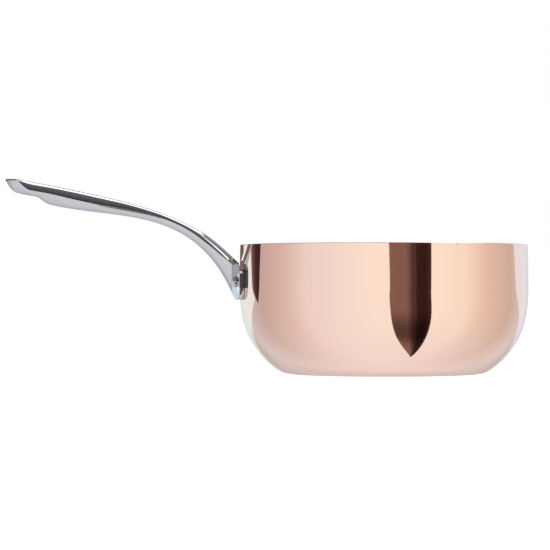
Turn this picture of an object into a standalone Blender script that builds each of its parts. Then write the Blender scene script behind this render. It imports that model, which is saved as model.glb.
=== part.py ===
"""Copper saute pan: a bowl of three bonded layers and a cast steel handle held by two rivets.

Metres, +Z up. The origin is the centre of the underside, and the handle points along -X.
"""

import math

import bmesh
import bpy

# Bowl, on the outside of the copper
PAN_HEIGHT = 0.1110
BELLY_RADIUS = 0.1240
RIM_INSET = 0.0006
RIM_ROUND = 0.0006
KNUCKLE_RADIUS = 0.0746
KNUCKLE_SWEEP = math.radians(54.7)
CORNER_RADIUS = 0.0199

# Layers, from the outside in, and the clearance drawn between pieces that touch
COPPER_THICKNESS = 0.0009
CORE_THICKNESS = 0.0010
LINING_THICKNESS = 0.0005
CLEARANCE = 0.0003

# Flange, the plate that lies against the wall and grows thicker towards the arm
FLANGE_DROP = 0.0167
FLANGE_HEIGHT = 0.0308
FLANGE_WIDTH = 0.0700
FLANGE_THICKNESS = 0.0042
FLANGE_LEAN = math.tan(math.radians(15.1))
FLANGE_LEAN_RISE = 0.0120
FLANGE_TOP_ROUND = 0.0048
FLANGE_BOTTOM_ROUND = 0.0100
FLANGE_EDGE = 0.0008

# Handle, seen from the side
HANDLE_REACH = 0.2013
HANDLE_RISE = 0.0728
ROOT_SLOPE = math.radians(43.9)
ROOT_PULL = 0.0548
TIP_SLOPE = math.radians(10.6)
TIP_PULL = 0.1305
UNDER_ROOT_SLOPE = math.radians(68.2)
UNDER_ROOT_PULL = 0.0903
UNDER_TIP_SLOPE = math.radians(13.9)
UNDER_TIP_PULL = 0.0611
GRIP_DEPTH = 0.0166
NOSE_DEPTH = 0.0122
NOSE_END_DEPTH = 0.0014
STOP_SETBACK = 0.0378
STOP_LENGTH = 0.0122
WEB_SINK = 0.0006

# Handle, seen from above
ROOT_WIDTH = 0.0180
NECK_WIDTH = 0.0156
NECK_SETBACK = 0.0520
GRIP_WIDTH = 0.0236
GRIP_SETBACK = 0.0600
NOSE_WIDTH = 0.0214
NOSE_LENGTH = 0.0110
NOSE_TIP_WIDTH = 0.0043
ROOT_FILLET = 0.0012

# Handle section: a crown on top, a leaning band below the shoulder, then a rounded flank
CROWN_RISE = 0.0020
RIDGE_RISE = 0.0070
RIDGE_LENGTH = 0.0390
CROWN_SHARE = 0.6
BAND_GRIP = 0.0057
BAND_NECK = 0.0031
BAND_ROOT = 0.0005
BAND_ROOT_LENGTH = 0.0270
BAND_NOSE_LENGTH = 0.0150
BAND_LEAST = 0.0003
BAND_LEAN = math.tan(math.radians(16.0))
CROWN_SWEEP = math.radians(65.0)
FLANK_POWER = 3.0

# Hanging hole
HOLE_WIDTH = 0.0070
HOLE_LENGTH = 0.0130
HOLE_SETBACK = 0.0140

# Rivets
RIVET_SPREAD = 0.0432
SHANK_RADIUS = 0.00275
RIVET_HEAD_RADIUS = 0.0046
RIVET_HEAD_RIM = 0.0015
RIVET_HEAD_DOME = 0.0018
RIVET_FOOT_RADIUS = 0.0050
RIVET_FOOT_THICKNESS = 0.0013
RIVET_FOOT_ROUND = 0.0005
SPOT_DEPTH = 0.0006

# Smoothness of the drawn solids
TURN_STEPS = 56
RIVET_STEPS = 20
CORNER_STEPS = 2
KNUCKLE_STEPS = 7
WALL_STEPS = 2
ARC_STEPS = 4
FLANK_STEPS = 6
NOSE_STEPS = 6
STOP_STEPS = 4
ARM_STEPS = 22
FILLET_STEPS = 3
WEB_STEPS = 2
FLANGE_COLUMNS = 12
FLANGE_ROWS = 3
MERGE = 0.00001

# Worked out from the sizes above
INNER_KNUCKLE = KNUCKLE_RADIUS - CORNER_RADIUS
BELLY_HEIGHT = INNER_KNUCKLE * math.sin(KNUCKLE_SWEEP) + CORNER_RADIUS
KNUCKLE_CENTRE = BELLY_RADIUS - KNUCKLE_RADIUS
WALL_RISE = PAN_HEIGHT - BELLY_HEIGHT
WALL_CURVE = (WALL_RISE**2 + RIM_INSET**2) / (2 * RIM_INSET)
CORE_DEPTH = COPPER_THICKNESS + CLEARANCE
LINING_DEPTH = CORE_DEPTH + CORE_THICKNESS + CLEARANCE
TOTAL_DEPTH = LINING_DEPTH + LINING_THICKNESS
FLANGE_TOP = PAN_HEIGHT - FLANGE_DROP
FLANGE_BOTTOM = FLANGE_TOP - FLANGE_HEIGHT


def wall_radius(height, depth=0.0):
    """Radius of the wall at a height, on the surface that lies this deep inside the copper's face."""
    drop = BELLY_HEIGHT - height
    if drop < 0:
        curve = WALL_CURVE - depth
        return BELLY_RADIUS - WALL_CURVE + math.sqrt(curve**2 - drop**2)
    curve = KNUCKLE_RADIUS - depth
    return KNUCKLE_CENTRE + math.sqrt(curve**2 - drop**2)


ROOT_REACH = wall_radius(FLANGE_TOP) + CLEARANCE
TIP_REACH = ROOT_REACH + HANDLE_REACH
BROW_REACH = TIP_REACH - NOSE_LENGTH
STOP_REACH = TIP_REACH - STOP_SETBACK
FACE_REACH = ROOT_REACH + FLANGE_THICKNESS


def flange_reach(across, height):
    """Reach of the flange's outer face, even along its low edge and leaning out to the arm above it."""
    outer = wall_radius(height) + CLEARANCE + FLANGE_THICKNESS
    even = math.sqrt(outer**2 - across**2)
    side = FLANGE_WIDTH / 2
    leaning = math.sqrt(outer**2 - side**2) + FLANGE_LEAN * (side - max(abs(across), ROOT_WIDTH / 2))
    return even + (leaning - even) * min(1.0, (height - FLANGE_BOTTOM) / FLANGE_LEAN_RISE)


CORNER_REACH = flange_reach(ROOT_WIDTH / 2 + ROOT_FILLET, FLANGE_TOP)
FILLET_REACH = CORNER_REACH + ROOT_FILLET
RIVET_HEIGHT = FLANGE_BOTTOM + FLANGE_HEIGHT / 2
RIVET_ANGLE = math.asin(RIVET_SPREAD / 2 / wall_radius(RIVET_HEIGHT))
SEAT_REACH = math.hypot(RIVET_SPREAD / 2, flange_reach(RIVET_SPREAD / 2, RIVET_HEIGHT)) - SPOT_DEPTH


def material(name, colour, roughness):
    """A metal with one colour and roughness."""
    made = bpy.data.materials.new(name)
    made.use_nodes = True
    shader = made.node_tree.nodes["Principled BSDF"]
    shader.inputs["Base Color"].default_value = (*colour, 1.0)
    shader.inputs["Metallic"].default_value = 1.0
    shader.inputs["Roughness"].default_value = roughness
    return made


def add_object(name, shape, finish=None):
    """Put a bmesh in the scene as a named object, and free it."""
    mesh = bpy.data.meshes.new(name)
    shape.to_mesh(mesh)
    shape.free()
    obj = bpy.data.objects.new(name, mesh)
    bpy.context.collection.objects.link(obj)
    if finish is None:
        obj.hide_render = True
        obj.display_type = "WIRE"
    else:
        mesh.materials.append(finish)
        mesh.shade_smooth()
    return obj


def turned(name, profile, steps, finish=None):
    """A solid turned about Z from a profile that ends on the axis and runs down its outer side."""
    shape = bmesh.new()
    points = [shape.verts.new((radius, 0.0, height)) for radius, height in profile]
    for start, end in zip(points, points[1:]):
        shape.edges.new((start, end))
    obj = add_object(name, shape, finish)
    screw = obj.modifiers.new("turn", "SCREW")
    screw.axis = "Z"
    screw.steps = steps
    screw.render_steps = steps
    screw.use_merge_vertices = True
    screw.merge_threshold = MERGE
    return obj


def lofted(name, rings, finish=None):
    """A solid through closed rings of as many points each, with both ends closed."""
    shape = bmesh.new()
    loops = [[shape.verts.new(point) for point in ring] for ring in rings]
    for near, far in zip(loops, loops[1:]):
        for i in range(len(near)):
            j = (i + 1) % len(near)
            shape.faces.new((near[i], near[j], far[j], far[i]))
    shape.faces.new(loops[0])
    shape.faces.new(loops[-1])
    bmesh.ops.recalc_face_normals(shape, faces=shape.faces[:])
    return add_object(name, shape, finish)


def boolean(obj, operation, other):
    """Join another solid to this one, or cut it away."""
    change = obj.modifiers.new(f"{operation} {other.name}", "BOOLEAN")
    change.operation = operation
    change.solver = "EXACT"
    change.object = other


def spread(start, end, steps):
    """Evenly spaced values from start to end, with both."""
    return [start + (end - start) * i / steps for i in range(steps + 1)]


def arc(centre, radius, start, end, steps):
    """Points on an arc, with angles from the first axis towards the second."""
    return [
        (centre[0] + radius * math.cos(angle), centre[1] + radius * math.sin(angle))
        for angle in spread(start, end, steps)
    ]


def bowl_outline(depth):
    """(radius, height) from the base's centre out and up to the rim, this deep inside the copper's face."""
    corner_centre = (
        KNUCKLE_CENTRE + INNER_KNUCKLE * math.cos(KNUCKLE_SWEEP),
        BELLY_HEIGHT - INNER_KNUCKLE * math.sin(KNUCKLE_SWEEP),
    )
    corner = arc(corner_centre, CORNER_RADIUS - depth, -math.pi / 2, -KNUCKLE_SWEEP, CORNER_STEPS)
    knuckle = arc((KNUCKLE_CENTRE, BELLY_HEIGHT), KNUCKLE_RADIUS - depth, -KNUCKLE_SWEEP, 0, KNUCKLE_STEPS)
    wall = [(wall_radius(z, depth), z) for z in spread(BELLY_HEIGHT, PAN_HEIGHT, WALL_STEPS)]
    return [(0.0, depth)] + corner + knuckle[1:] + wall[1:]


def rounded_rim(outline, radius):
    """The outline with its last corner, at the rim, rounded towards the axis."""
    rim_radius, rim_height = outline[-1]
    centre = (rim_radius - radius, rim_height - radius)
    return outline[:-1] + arc(centre, radius, 0, math.pi / 2, CORNER_STEPS)


def layer(name, depth, thickness, finish, rim_round=0.0):
    """One layer of the bowl, between two surfaces parallel to the copper's face."""
    outside = bowl_outline(depth)
    if rim_round:
        outside = rounded_rim(outside, rim_round)
    inside = bowl_outline(depth + thickness)
    return turned(name, inside + outside[::-1], TURN_STEPS, finish)


def bezier(points, t):
    """A point on a cubic curve through the first and last of four points."""
    weights = ((1 - t) ** 3, 3 * t * (1 - t) ** 2, 3 * t**2 * (1 - t), t**3)
    return tuple(sum(w * point[i] for w, point in zip(weights, points)) for i in range(2))


def curve_height(points, reach):
    """Height of a curve whose reach only grows, found by halving."""
    low, high = 0.0, 1.0
    for _ in range(40):
        middle = (low + high) / 2
        if bezier(points, middle)[0] < reach:
            low = middle
        else:
            high = middle
    return bezier(points, low)[1]


def leaving(start, slope, pull, way):
    """The handle of a curve's end: this far from it, uphill outwards (1) or downhill inwards (-1)."""
    return start[0] + way * pull * math.cos(slope), start[1] + way * pull * math.sin(slope)


def top_line():
    root = (ROOT_REACH, FLANGE_TOP)
    brow = (BROW_REACH, FLANGE_TOP + HANDLE_RISE)
    return root, leaving(root, ROOT_SLOPE, ROOT_PULL, 1), leaving(brow, TIP_SLOPE, TIP_PULL, -1), brow


def under_line():
    root = (FACE_REACH, FLANGE_BOTTOM)
    stop = (STOP_REACH, curve_height(top_line(), STOP_REACH) - GRIP_DEPTH)
    return (
        root,
        leaving(root, UNDER_ROOT_SLOPE, UNDER_ROOT_PULL, 1),
        leaving(stop, UNDER_TIP_SLOPE, UNDER_TIP_PULL, -1),
        stop,
    )


def eased(stations, reach):
    """A value that eases from each (reach, value) station to the next and holds beyond the ends."""
    if reach <= stations[0][0]:
        return stations[0][1]
    for (start, first), (end, last) in zip(stations, stations[1:]):
        if reach <= end:
            share = (reach - start) / (end - start)
            return first + (last - first) * share * share * (3 - 2 * share)
    return stations[-1][1]


def nose_share(reach):
    """How far into the rounded nose this reach lies: 0 at its start, 1 at the tip."""
    return max(0.0, (reach - BROW_REACH) / NOSE_LENGTH)


def top_height(reach):
    return curve_height(top_line(), min(reach, BROW_REACH))


def bottom_height(reach):
    if reach < STOP_REACH:
        return max(curve_height(under_line(), reach), FLANGE_BOTTOM + WEB_SINK)
    depth = eased(((STOP_REACH, GRIP_DEPTH), (STOP_REACH + STOP_LENGTH, NOSE_DEPTH)), reach)
    depth -= (NOSE_DEPTH - NOSE_END_DEPTH) * nose_share(reach) ** 2
    return top_height(reach) - depth


def half_width(reach):
    """Half the width at the waist, with the nose's round end and the fillets to the flange."""
    stations = (
        (FILLET_REACH, ROOT_WIDTH),
        (ROOT_REACH + NECK_SETBACK, NECK_WIDTH),
        (TIP_REACH - GRIP_SETBACK, GRIP_WIDTH),
        (BROW_REACH, NOSE_WIDTH),
    )
    rounding = 1 - (NOSE_TIP_WIDTH / NOSE_WIDTH) ** 2
    width = eased(stations, reach) / 2 * math.sqrt(1 - rounding * nose_share(reach) ** 2)
    into_fillet = min(max(0.0, FILLET_REACH - reach), ROOT_FILLET)
    return width + ROOT_FILLET - math.sqrt(ROOT_FILLET**2 - into_fillet**2)


def crown_height(reach):
    """Rise of the rounded top above the shoulders, no more than a share of the whole depth."""
    ridge_end = ROOT_REACH + RIDGE_LENGTH
    crown = eased(((FILLET_REACH - ROOT_FILLET / 2, RIDGE_RISE), (ridge_end, CROWN_RISE)), reach)
    return min(crown, (top_height(reach) - bottom_height(reach)) * CROWN_SHARE)


def band_height(reach):
    stations = (
        (FACE_REACH, BAND_ROOT),
        (FACE_REACH + BAND_ROOT_LENGTH, BAND_NECK),
        (ROOT_REACH + NECK_SETBACK, BAND_NECK),
        (STOP_REACH, BAND_GRIP),
    )
    to_nose = min(max((BROW_REACH - reach) / BAND_NOSE_LENGTH, 0.0), 1.0)
    return max(BAND_LEAST, eased(stations, reach) * math.sin(to_nose * math.pi / 2))


def half_section(reach):
    """(across, height) down one side of the handle, from the crown's middle to the bottom's."""
    top = top_height(reach)
    bottom = bottom_height(reach)
    crown = crown_height(reach)
    band = band_height(reach)
    waist = half_width(reach)
    shoulder = waist - band * BAND_LEAN
    flank = top - crown - band - bottom
    half = []
    for angle in spread(0.0, CROWN_SWEEP, ARC_STEPS):
        across = shoulder * math.sin(angle) / math.sin(CROWN_SWEEP)
        half.append((across, top - crown * (1 - math.cos(angle)) / (1 - math.cos(CROWN_SWEEP))))
    for angle in spread(0.0, math.pi / 2, FLANK_STEPS):
        across = waist * abs(math.cos(angle)) ** (2 / FLANK_POWER)
        half.append((across, bottom + flank * (1 - math.sin(angle) ** (2 / FLANK_POWER))))
    return half


def arm_reaches():
    """Where the handle's sections are taken, closer together where its shape changes fast."""
    inside = ROOT_REACH + WEB_SINK
    web = spread(FACE_REACH, CORNER_REACH, WEB_STEPS)
    fillet = spread(CORNER_REACH, FILLET_REACH, FILLET_STEPS)
    arm = spread(FILLET_REACH, STOP_REACH, ARM_STEPS)
    stop = spread(STOP_REACH, STOP_REACH + STOP_LENGTH, STOP_STEPS)
    level = spread(STOP_REACH + STOP_LENGTH, BROW_REACH, STOP_STEPS)
    nose = [BROW_REACH + NOSE_LENGTH * math.sin(a) for a in spread(0, math.pi / 2, NOSE_STEPS)]
    return [inside] + web + fillet[1:] + arm[1:] + stop[1:] + level[1:] + nose[1:]


def arm(finish):
    """The handle's arm, from inside the flange to the nose."""
    rings = []
    for reach in arm_reaches():
        half = half_section(reach)
        around = half + [(-across, height) for across, height in half[-2:0:-1]]
        rings.append([(-reach, across, height) for across, height in around])
    return lofted("handle", rings, finish)


def flange_half_width(height):
    """Half the flange's width at a height, less where its corners are round."""
    half = FLANGE_WIDTH / 2
    above = FLANGE_BOTTOM_ROUND - (height - FLANGE_BOTTOM)
    below = FLANGE_TOP_ROUND - (FLANGE_TOP - height)
    if above > 0:
        return half - FLANGE_BOTTOM_ROUND + math.sqrt(FLANGE_BOTTOM_ROUND**2 - above**2)
    if below > 0:
        return half - FLANGE_TOP_ROUND + math.sqrt(FLANGE_TOP_ROUND**2 - below**2)
    return half


def flange_ring(height, edge):
    """The flange's outline at a height, its outer face this much lower than full thickness."""
    inner = wall_radius(height) + CLEARANCE
    outer = inner + FLANGE_THICKNESS
    half = flange_half_width(height)
    turn = math.asin(half / outer)
    wall_side = [(inner * math.cos(angle), inner * math.sin(angle)) for angle in spread(-turn, turn, FLANGE_COLUMNS)]
    across = spread(half - FLANGE_EDGE, FLANGE_EDGE - half, FLANGE_COLUMNS)
    face = [(flange_reach(side, height) - edge, side) for side in across]
    shoulder = flange_reach(half, height) - FLANGE_EDGE
    points = wall_side + [(shoulder, half)] + face + [(shoulder, -half)]
    return [(-reach, side, height) for reach, side in points]


def corner_rises(radius):
    """Distances from the flange's straight edge at which a round corner is drawn, past the bevel."""
    start = math.acos(1 - FLANGE_EDGE / radius)
    return [radius * (1 - math.cos(angle)) for angle in spread(start, math.pi / 2, 2 * CORNER_STEPS)]


def flange():
    """The plate that hugs the wall, with round corners and a bevelled outer edge."""
    low = [FLANGE_BOTTOM + rise for rise in corner_rises(FLANGE_BOTTOM_ROUND)]
    high = [FLANGE_TOP - drop for drop in corner_rises(FLANGE_TOP_ROUND)]
    middle = spread(low[-1], high[-1], FLANGE_ROWS)[1:-1]
    rings = [flange_ring(height, 0.0) for height in low + middle + high[::-1]]
    bottom = flange_ring(FLANGE_BOTTOM, FLANGE_EDGE)
    top = flange_ring(FLANGE_TOP, FLANGE_EDGE)
    return lofted("flange_shape", [bottom] + rings + [top])


def hanging_hole():
    """The cutter of the slot near the tip, longer than the nose is deep."""
    centre = TIP_REACH - HOLE_SETBACK
    radius = HOLE_WIDTH / 2
    straight = HOLE_LENGTH / 2 - radius
    far = arc((-centre - straight, 0.0), radius, math.pi / 2, 3 * math.pi / 2, RIVET_STEPS // 2)
    near = arc((-centre + straight, 0.0), radius, -math.pi / 2, math.pi / 2, RIVET_STEPS // 2)
    top = FLANGE_TOP + HANDLE_RISE + NOSE_DEPTH
    bottom = FLANGE_TOP + HANDLE_RISE - 2 * NOSE_DEPTH
    rings = [[(x, y, z) for x, y in far + near] for z in (bottom, top)]
    return lofted("hanging_hole", rings)


def face_outwards(obj, side):
    """Turn an object that lies along Z so that it points out of the pan at a rivet."""
    obj.rotation_euler = (0.0, -math.pi / 2, side * RIVET_ANGLE)
    obj.location = (0.0, 0.0, RIVET_HEIGHT)


def rivet_cutter(name, side):
    """The cutter of a rivet's hole and of the spot face under its head."""
    hole = SHANK_RADIUS + CLEARANCE
    spot = RIVET_HEAD_RADIUS + CLEARANCE
    far = SEAT_REACH + 4 * RIVET_HEAD_RADIUS
    near = wall_radius(RIVET_HEIGHT) - 3 * TOTAL_DEPTH
    profile = [(0.0, far), (spot, far), (spot, SEAT_REACH), (hole, SEAT_REACH), (hole, near), (0.0, near)]
    cutter = turned(name, profile, RIVET_STEPS)
    face_outwards(cutter, side)
    return cutter


def rivet(name, side, finish):
    """A rivet: domed head outside, shank through the wall, thin flat head inside."""
    seat = SEAT_REACH + CLEARANCE
    rim = seat + RIVET_HEAD_RIM
    dome = [
        (RIVET_HEAD_RADIUS * math.sin(a), rim + RIVET_HEAD_DOME * math.cos(a))
        for a in spread(0.0, math.pi / 2, ARC_STEPS + 1)
    ]
    inner = wall_radius(RIVET_HEIGHT, TOTAL_DEPTH)
    foot_top = math.sqrt(inner**2 - RIVET_FOOT_RADIUS**2) - CLEARANCE
    foot_low = foot_top - RIVET_FOOT_THICKNESS
    round_centre = (RIVET_FOOT_RADIUS - RIVET_FOOT_ROUND, foot_low + RIVET_FOOT_ROUND)
    shank = [(RIVET_HEAD_RADIUS, seat), (SHANK_RADIUS, seat), (SHANK_RADIUS, foot_top)]
    foot = [(RIVET_FOOT_RADIUS, foot_top)] + arc(round_centre, RIVET_FOOT_ROUND, 0, -math.pi / 2, 2)
    made = turned(name, dome + shank + foot + [(0.0, foot_low)], RIVET_STEPS, finish)
    face_outwards(made, side)
    return made


def main():
    for obj in list(bpy.data.objects):
        bpy.data.objects.remove(obj)

    copper = material("polished copper", (0.93, 0.66, 0.52), 0.08)
    aluminium = material("aluminium core", (0.80, 0.81, 0.82), 0.40)
    lining = material("satin steel", (0.70, 0.70, 0.70), 0.30)
    cast = material("polished cast steel", (0.66, 0.66, 0.67), 0.18)
    rivet_steel = material("rivet steel", (0.74, 0.74, 0.75), 0.15)

    layers = [
        layer("copper_body", 0.0, COPPER_THICKNESS, copper, RIM_ROUND),
        layer("aluminium_core", CORE_DEPTH, CORE_THICKNESS, aluminium),
        layer("steel_lining", LINING_DEPTH, LINING_THICKNESS, lining),
    ]
    handle = arm(cast)
    boolean(handle, "UNION", flange())
    boolean(handle, "DIFFERENCE", hanging_hole())
    for name, side in (("front", 1), ("back", -1)):
        cutter = rivet_cutter(f"{name}_rivet_cutter", side)
        for obj in layers + [handle]:
            boolean(obj, "DIFFERENCE", cutter)
        rivet(f"{name}_rivet", side, rivet_steel)


main()
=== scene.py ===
"""Looks of a copper saute pan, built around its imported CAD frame.

A bowl of three bonded layers carries a cast steel handle on two rivets. Metres, +Z up, the
origin under the middle of the base, and the handle along -X.
"""

from __future__ import annotations

import logging
import math
from collections.abc import Callable, Iterator, Sequence
from contextlib import contextmanager
from dataclasses import dataclass, field
from enum import Enum

import bmesh
import bpy
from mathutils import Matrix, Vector


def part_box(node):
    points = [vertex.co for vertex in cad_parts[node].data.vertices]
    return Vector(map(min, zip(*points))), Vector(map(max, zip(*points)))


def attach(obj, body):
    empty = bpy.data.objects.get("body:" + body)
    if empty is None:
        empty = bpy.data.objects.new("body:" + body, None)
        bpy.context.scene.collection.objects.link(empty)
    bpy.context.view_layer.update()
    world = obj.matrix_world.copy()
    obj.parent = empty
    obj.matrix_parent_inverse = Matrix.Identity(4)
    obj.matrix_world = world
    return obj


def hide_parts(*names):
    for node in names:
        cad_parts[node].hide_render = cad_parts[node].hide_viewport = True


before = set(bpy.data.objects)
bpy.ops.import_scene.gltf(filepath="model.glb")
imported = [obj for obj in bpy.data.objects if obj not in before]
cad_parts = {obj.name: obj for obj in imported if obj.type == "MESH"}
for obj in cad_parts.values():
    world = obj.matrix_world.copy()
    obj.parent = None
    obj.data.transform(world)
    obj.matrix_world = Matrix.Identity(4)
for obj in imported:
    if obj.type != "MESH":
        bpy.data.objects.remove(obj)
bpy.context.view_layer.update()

log = logging.getLogger("saute_pan")

Pair = tuple[float, float]
Triple = tuple[float, float, float]
Stops = tuple[tuple[float, Triple], ...]

ORIGIN: Triple = (0.0, 0.0, 0.0)
TO_BACK: Triple = (0.0, 1.0, 0.0)
TO_LEFT: Triple = (-1.0, 0.0, 0.0)
TO_RIGHT: Triple = (1.0, 0.0, 0.0)
UP: Triple = (0.0, 0.0, 1.0)
DOWN: Triple = (0.0, 0.0, -1.0)
MILLIMETRES = 1000.0
# Vertices closer than this are merged.
MERGE = 1e-6
# Size of a primitive whose points are all placed afterwards.
SEED = 1e-5
# Gap between the bonded layers.
SEAM = 0.00002
# Angle in degrees above which an edge shows as sharp.
SHARP_EDGE = 40.0
# Steps of the search for a point on a curve.
HALVINGS = 40


class Slot(Enum):
    """Material slots of the record."""

    COPPER = "copper"
    CORE = "core"
    LINING = "lining"
    CAST_STEEL = "cast_steel"
    RIVET = "rivet"


# Shader building


def calculation(operation: str, flipped: bool = False) -> Callable[[Socket, object], Socket]:
    """Make an operator of a socket that adds one Math node.

    Args:
        operation: The node's operation.
        flipped: Whether the socket comes second in it.

    Returns:
        The operator.
    """

    def calculate(socket: Socket, other: object = 0.0) -> Socket:
        """One Math node on the socket and another value."""
        first, second = (other, socket) if flipped else (socket, other)
        return socket.shader.node("ShaderNodeMath", {"operation": operation}, {0: first, 1: second})

    return calculate


class Socket:
    """A value or vector output of a node, whose arithmetic adds Math nodes."""

    def __init__(self, shader: Shader, output: bpy.types.NodeSocket) -> None:
        """Wrap an output.

        Args:
            shader: The node tree's builder.
            output: The output that the socket stands for.
        """
        self.shader = shader
        self.output = output

    __add__ = __radd__ = calculation("ADD")
    __mul__ = __rmul__ = calculation("MULTIPLY")
    __sub__ = calculation("SUBTRACT")
    __rsub__ = __neg__ = calculation("SUBTRACT", flipped=True)
    __truediv__ = calculation("DIVIDE")
    __pow__ = calculation("POWER")
    size = calculation("ABSOLUTE")

    def above(self, low: float, high: float) -> Socket:
        """A smooth step.

        Args:
            low: Value up to which the step is 0.
            high: Value from which it is 1.

        Returns:
            The step's value.
        """
        ranges = {"From Min": low, "From Max": high, "Value": self}
        return self.shader.node("ShaderNodeMapRange", {"interpolation_type": "SMOOTHSTEP"}, ranges)

    def below(self, low: float, high: float) -> Socket:
        """The opposite step, from 1 down to 0."""
        return 1.0 - self.above(low, high)


class Shader:
    """Adds nodes to a material's or a world's tree."""

    def __init__(self, tree: bpy.types.NodeTree) -> None:
        """Start on an emptied tree.

        Args:
            tree: The node tree.
        """
        self.tree = tree
        tree.nodes.clear()

    def node(
        self,
        kind: str,
        settings: dict[str, object] | None = None,
        values: dict[str | int, object] | None = None,
        output: str | int = 0,
    ) -> Socket:
        """Add one node.

        Args:
            kind: The node's type.
            settings: Properties that are set first.
            values: What its inputs hold or are linked to.
            output: The output to hand back.

        Returns:
            That output.
        """
        made = self.tree.nodes.new(kind)
        for name, value in (settings or {}).items():
            setattr(made, name, value)
        for name, value in (values or {}).items():
            if isinstance(value, Socket):
                self.tree.links.new(value.output, made.inputs[name])
            else:
                made.inputs[name].default_value = value
        return Socket(self, made.outputs[output] if made.outputs else None)

    def ramp(self, stops: Stops, place: Socket) -> Socket:
        """A colour ramp.

        Args:
            stops: Places from 0 to 1, each with its colour.
            place: Where on the ramp the colour is read.

        Returns:
            The colour.
        """
        colour = self.node("ShaderNodeValToRGB", None, {"Fac": place})
        elements = colour.output.node.color_ramp.elements
        while len(elements) < len(stops):
            elements.new(1.0)
        for element, (stop, paint) in zip(elements, stops):
            element.position = stop
            element.color = (*paint, 1.0)
        return colour

    def mix(self, share: Socket, low: object, high: object) -> Socket:
        """Mix two colours.

        Args:
            share: 0 for the first colour, 1 for the second.
            low: First colour, as three numbers or a socket.
            high: Second colour.

        Returns:
            The mixed colour.
        """
        ends = [(*end, 1.0) if isinstance(end, tuple) else end for end in (low, high)]
        settings = {"data_type": "RGBA", "clamp_factor": True}
        return self.node("ShaderNodeMix", settings, {0: share, 6: ends[0], 7: ends[1]}, 2)

    def toned(self, tone: Socket, colour: Triple, tones: Pair) -> Socket:
        """A colour between a darker and a lighter tone of itself.

        Args:
            tone: 0 for the darker tone, 1 for the lighter one.
            colour: The colour.
            tones: What it is multiplied by at both ends.

        Returns:
            The toned colour.
        """
        darker, lighter = (tuple(min(part * change, 1.0) for part in colour) for change in tones)
        return self.mix(tone, darker, lighter)

    def vector(
        self, operation: str, first: object, second: object = ORIGIN, output: str = "Vector"
    ) -> Socket:
        """One Vector Math node."""
        values = {0: first, 1: second}
        return self.node("ShaderNodeVectorMath", {"operation": operation}, values, output)

    def joined(self, x: object, y: object, z: object) -> Socket:
        """A vector from three values."""
        return self.node("ShaderNodeCombineXYZ", None, {0: x, 1: y, 2: z})

    def split(self, vector: Socket) -> tuple[Socket, Socket, Socket]:
        """The three values of a vector."""
        outputs = self.node("ShaderNodeSeparateXYZ", None, {0: vector}).output.node.outputs
        return tuple(Socket(self, outputs[axis]) for axis in ("X", "Y", "Z"))

    def place(self) -> Socket:
        """Object coordinates, which are the row frame's for a piece at the origin."""
        return self.node("ShaderNodeTexCoord", None, None, "Object")

    def noise(self, vector: Socket, scale: float, detail: float = 2.0) -> Socket:
        """Noise from 0 to 1 with its middle at a half."""
        return self.node("ShaderNodeTexNoise", None, {"Vector": vector, "Scale": scale, "Detail": detail})

    def bump(self, height: Socket, strength: float, distance: float) -> Socket:
        """A Bump node's normal."""
        values = {"Height": height, "Strength": strength, "Distance": distance}
        return self.node("ShaderNodeBump", None, values, "Normal")


def varied(middle: float, *changes: tuple[Socket, float]) -> Socket:
    """A value that changes with noises round its middle.

    Args:
        middle: The value where each noise is at its own middle.
        changes: Pairs of a noise and how far it takes the value from one end to the other.

    Returns:
        The changing value.
    """
    return sum(((noise - 0.5) * reach for noise, reach in changes), middle)


@dataclass(frozen=True)
class Finish:
    """A metal finish. The kinds below add their own marks to it."""

    name: str
    colour: Triple
    roughness: float

    def made(self) -> bpy.types.Material:
        """Make the material.

        Returns:
            A material with a metal shader and this finish's marks.
        """
        material = bpy.data.materials.new(self.name)
        material.use_nodes = True
        shader = Shader(material.node_tree)
        values: dict[str | int, object] = {"Base Color": (*self.colour, 1.0), "Metallic": 1.0}
        values.update(self.marks(shader))
        surface = shader.node("ShaderNodeBsdfPrincipled", None, values)
        shader.node("ShaderNodeOutputMaterial", None, {"Surface": surface})
        return material

    def marks(self, shader: Shader) -> dict[str | int, object]:
        """What varies over the surface.

        Args:
            shader: The material's builder.

        Returns:
            Links for the metal shader's inputs, roughness among them.
        """
        raise NotImplementedError

    @staticmethod
    def turned_place(shader: Shader) -> tuple[Socket, Socket, Socket]:
        """Coordinates for marks that run round the bowl.

        Args:
            shader: The material's builder.

        Returns:
            A vector that changes slowly round the axis and by 1 for each millimetre of the
            profile, the distance from the axis, and the height.
        """
        x, y, z = shader.split(shader.place())
        flat = shader.joined(x, y, 0.0)
        reach = shader.vector("LENGTH", flat, output="Value")
        across, along, _ = shader.split(shader.vector("NORMALIZE", flat))
        return shader.joined(across, along, (reach + z) * MILLIMETRES), reach, z


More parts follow.
